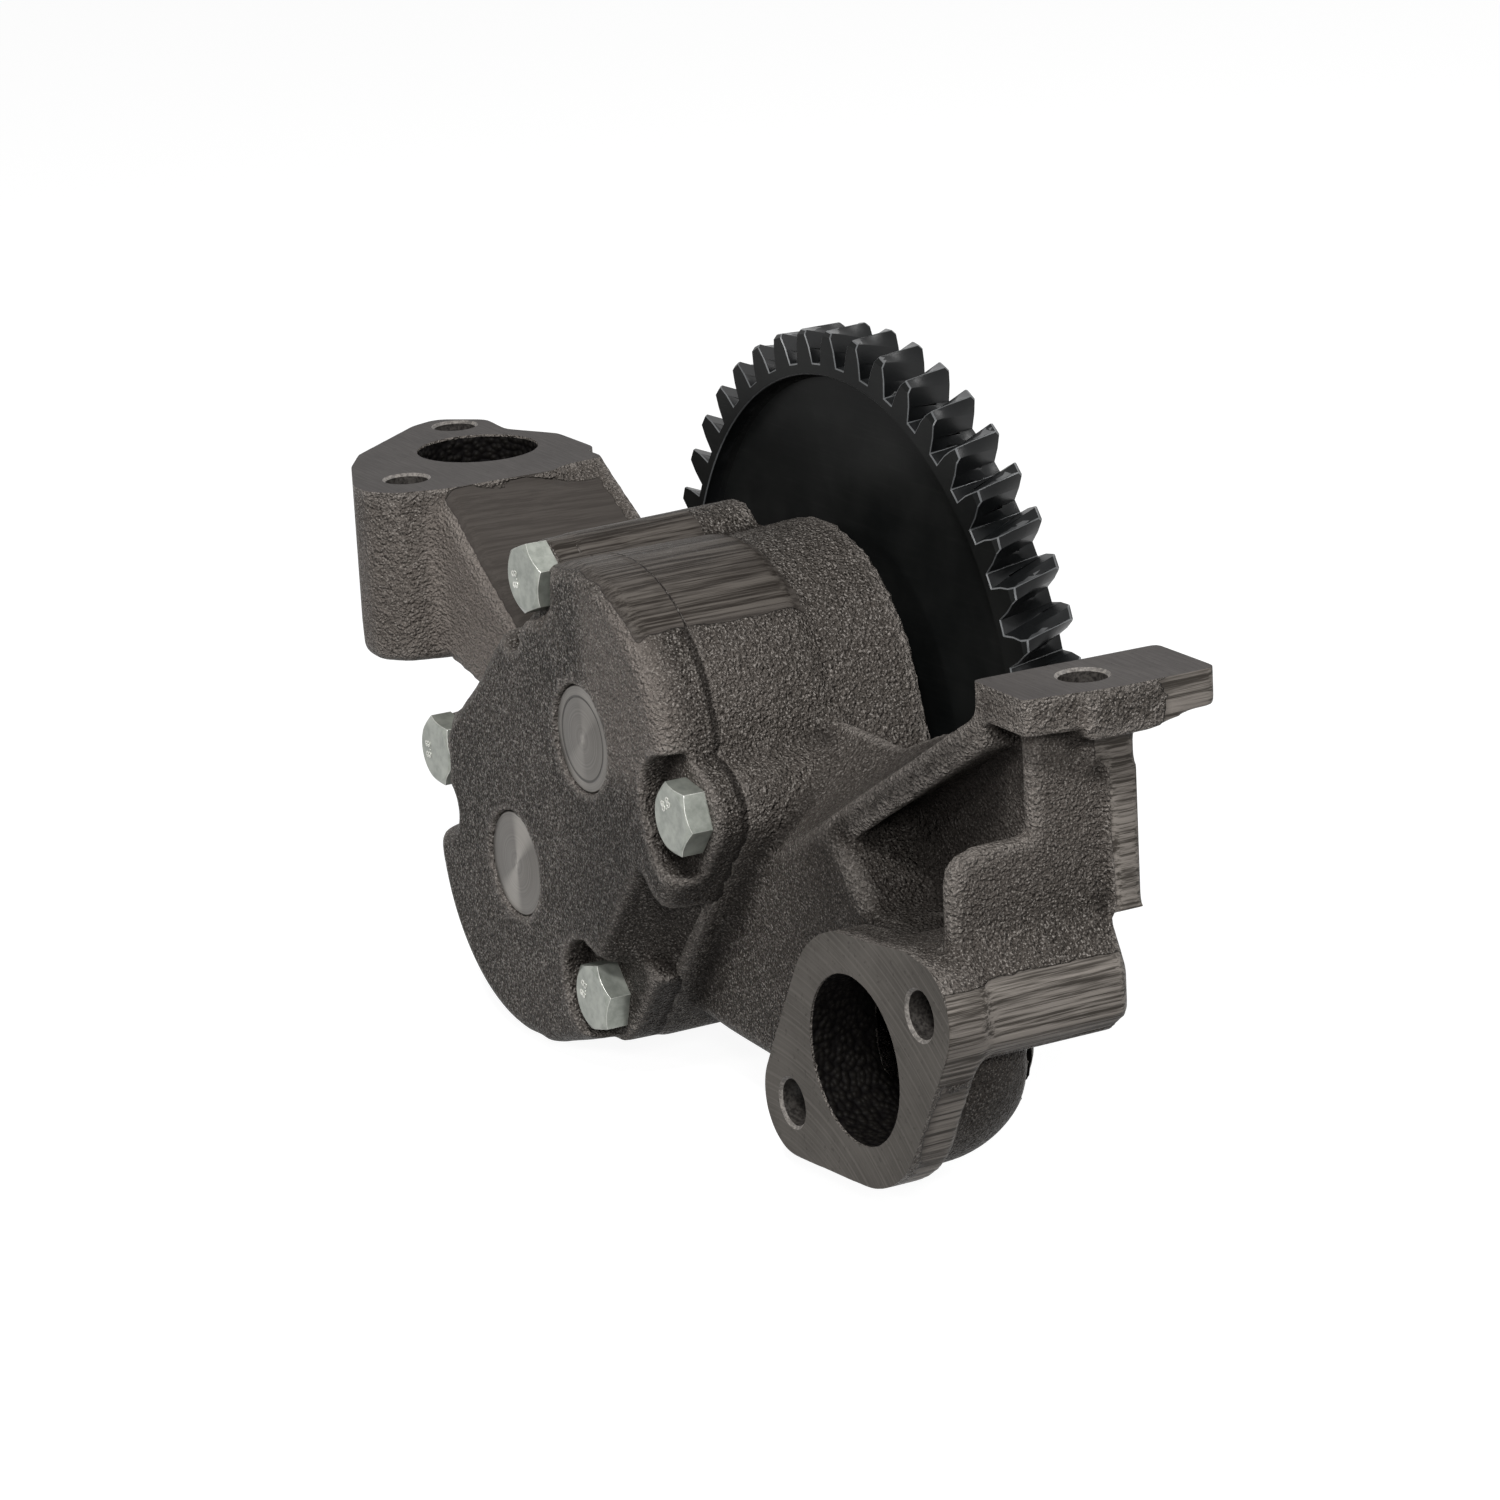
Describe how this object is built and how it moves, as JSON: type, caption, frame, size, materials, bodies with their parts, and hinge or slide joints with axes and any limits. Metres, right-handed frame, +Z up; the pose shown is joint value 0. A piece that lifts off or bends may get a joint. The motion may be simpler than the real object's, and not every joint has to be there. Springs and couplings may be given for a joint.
{
  "type": "engine oil pump",
  "caption": "Gear-type engine oil pump: cast body with cover, suction and discharge flanges and a mounting arm, driven by an open helical gear on the drive shaft.",
  "frame": {"origin": "centre of the discharge port in the upper mounting face", "axes": "+Z up out of the discharge port, +Y along the shafts from the cover to the drive gear, +X from the discharge port towards the suction flange"},
  "size_m": [0.2835, 0.0911, 0.1452],
  "materials": {
    "cast_body": "as-cast, phosphated, with machined faces",
    "gear_black": "black phosphated steel",
    "steel": "turned and ground",
    "zinc_plate": "zinc plated",
    "bush_bronze": "plain turned",
    "spring_steel": "oiled"
  },
  "bodies": {
    "pump_body": {"pump_housing": "cast_body", "pump_cover": "cast_body", "drive_bush": "bush_bronze", "idler_bush": "bush_bronze", "cover_bolt_1": "zinc_plate", "cover_bolt_2": "zinc_plate", "cover_bolt_3": "zinc_plate", "cover_bolt_4": "zinc_plate", "dowel_pin_1": "steel", "dowel_pin_2": "steel", "relief_plug": "steel"},
    "drive_rotor": {"drive_shaft": "steel", "pump_gear_driving": "steel", "pump_gear_key": "steel", "drive_gear": "gear_black", "drive_gear_key": "steel", "gear_washer": "zinc_plate", "gear_nut": "zinc_plate"},
    "idler_rotor": {"idler_shaft": "steel", "pump_gear_driven": "steel"},
    "relief_valve": {"relief_piston": "steel", "relief_spring": "spring_steel"}
  },
  "joints": [
    {"name": "drive_spin", "type": "hinge", "parent": "pump_body", "child": "drive_rotor", "pos_m": [0.125, -0.042, -0.03], "axis": [0, 1, 0], "continuous": true},
    {"name": "idler_spin", "type": "hinge", "parent": "pump_body", "child": "idler_rotor", "pos_m": [0.09176, -0.042, -0.06407], "axis": [0, 1, 0], "continuous": true},
    {"name": "relief_lift", "type": "slide", "parent": "pump_body", "child": "relief_valve", "axis": [0, 0, -1], "range_m": [0, 0.004], "stiffness_N_per_m": 5000, "springref_m": -0.006, "deforming": ["relief_spring"]}
  ],
  "couplings": [
    {"joint": "idler_spin", "follows": "drive_spin", "ratio": -1}
  ]
}
